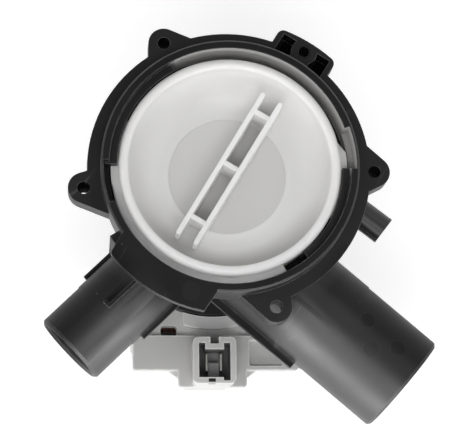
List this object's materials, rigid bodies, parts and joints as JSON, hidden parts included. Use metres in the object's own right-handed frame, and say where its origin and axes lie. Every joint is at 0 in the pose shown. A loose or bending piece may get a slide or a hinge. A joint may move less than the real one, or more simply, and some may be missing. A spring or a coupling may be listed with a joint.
{
  "type": "washer drain pump",
  "caption": "Drain pump of a washing machine: black housing with a filter pot, turn-lock filter cap, inlet and outlet pipes, and a grey synchronous motor with a plug socket",
  "frame": {"origin": "centre of the collar's front face, on the filter's axis", "axes": "+Z out of the filter along its axis, +Y towards the clip block, +X to the side of the inlet pipe"},
  "size_m": [0.1448, 0.1398, 0.109],
  "materials": {
    "housing_plastic": "moulded black polypropylene, satin",
    "cap_plastic": "moulded white polypropylene, satin",
    "filter_plastic": "moulded white polypropylene",
    "seal_rubber": "black nitrile rubber",
    "impeller_plastic": "moulded white plastic",
    "motor_plastic": "moulded grey glass-filled polyamide",
    "can_plastic": "moulded dark grey plastic",
    "shaft_steel": "ground stainless steel",
    "magnet_ferrite": "sintered ferrite",
    "bearing_ceramic": "sintered ceramic",
    "core_steel": "stacked electrical steel sheets",
    "bobbin_plastic": "moulded grey polyamide",
    "winding_copper": "enamelled copper wire",
    "tab_metal": "tinned brass",
    "screw_steel": "zinc-plated steel"
  },
  "bodies": {
    "pump": {"pump_housing": "housing_plastic", "rotor_can": "can_plastic", "can_seal_ring": "seal_rubber", "bearing_carrier": "can_plastic", "front_bearing": "bearing_ceramic", "shaft_seal": "seal_rubber", "rear_bearing": "bearing_ceramic", "motor_front_frame": "motor_plastic", "motor_screws": "screw_steel", "stator_core": "core_steel", "left_bobbin": "bobbin_plastic", "right_bobbin": "bobbin_plastic", "left_winding": "winding_copper", "right_winding": "winding_copper", "coil_cover": "motor_plastic", "connector_housing": "motor_plastic", "terminal_tabs": "tab_metal", "motor_rear_clamp": "motor_plastic", "core_screws": "screw_steel"},
    "filter": {"filter_cap": "cap_plastic", "cap_seal": "seal_rubber", "lint_filter": "filter_plastic"},
    "rotor": {"rotor_shaft": "shaft_steel", "rotor_magnet": "magnet_ferrite", "drive_dog": "impeller_plastic", "thrust_washer": "bearing_ceramic"},
    "impeller": {"impeller": "impeller_plastic", "impeller_damper": "seal_rubber", "hub_cover": "impeller_plastic"}
  },
  "joints": [
    {"name": "filter_turn", "type": "hinge", "parent": "pump", "child": "filter", "pos_m": [0, 0, -0.006], "axis": [0, 0, 1], "range_deg": [0, 90]},
    {"name": "rotor_spin", "type": "hinge", "parent": "pump", "child": "rotor", "pos_m": [0.00142, -0.00675, -0.09], "axis": [0, 0, 1], "continuous": true},
    {"name": "impeller_play", "type": "hinge", "parent": "rotor", "child": "impeller", "pos_m": [0.00142, -0.00675, -0.062], "axis": [0, 0, 1], "range_deg": [-118, 118]}
  ]
}
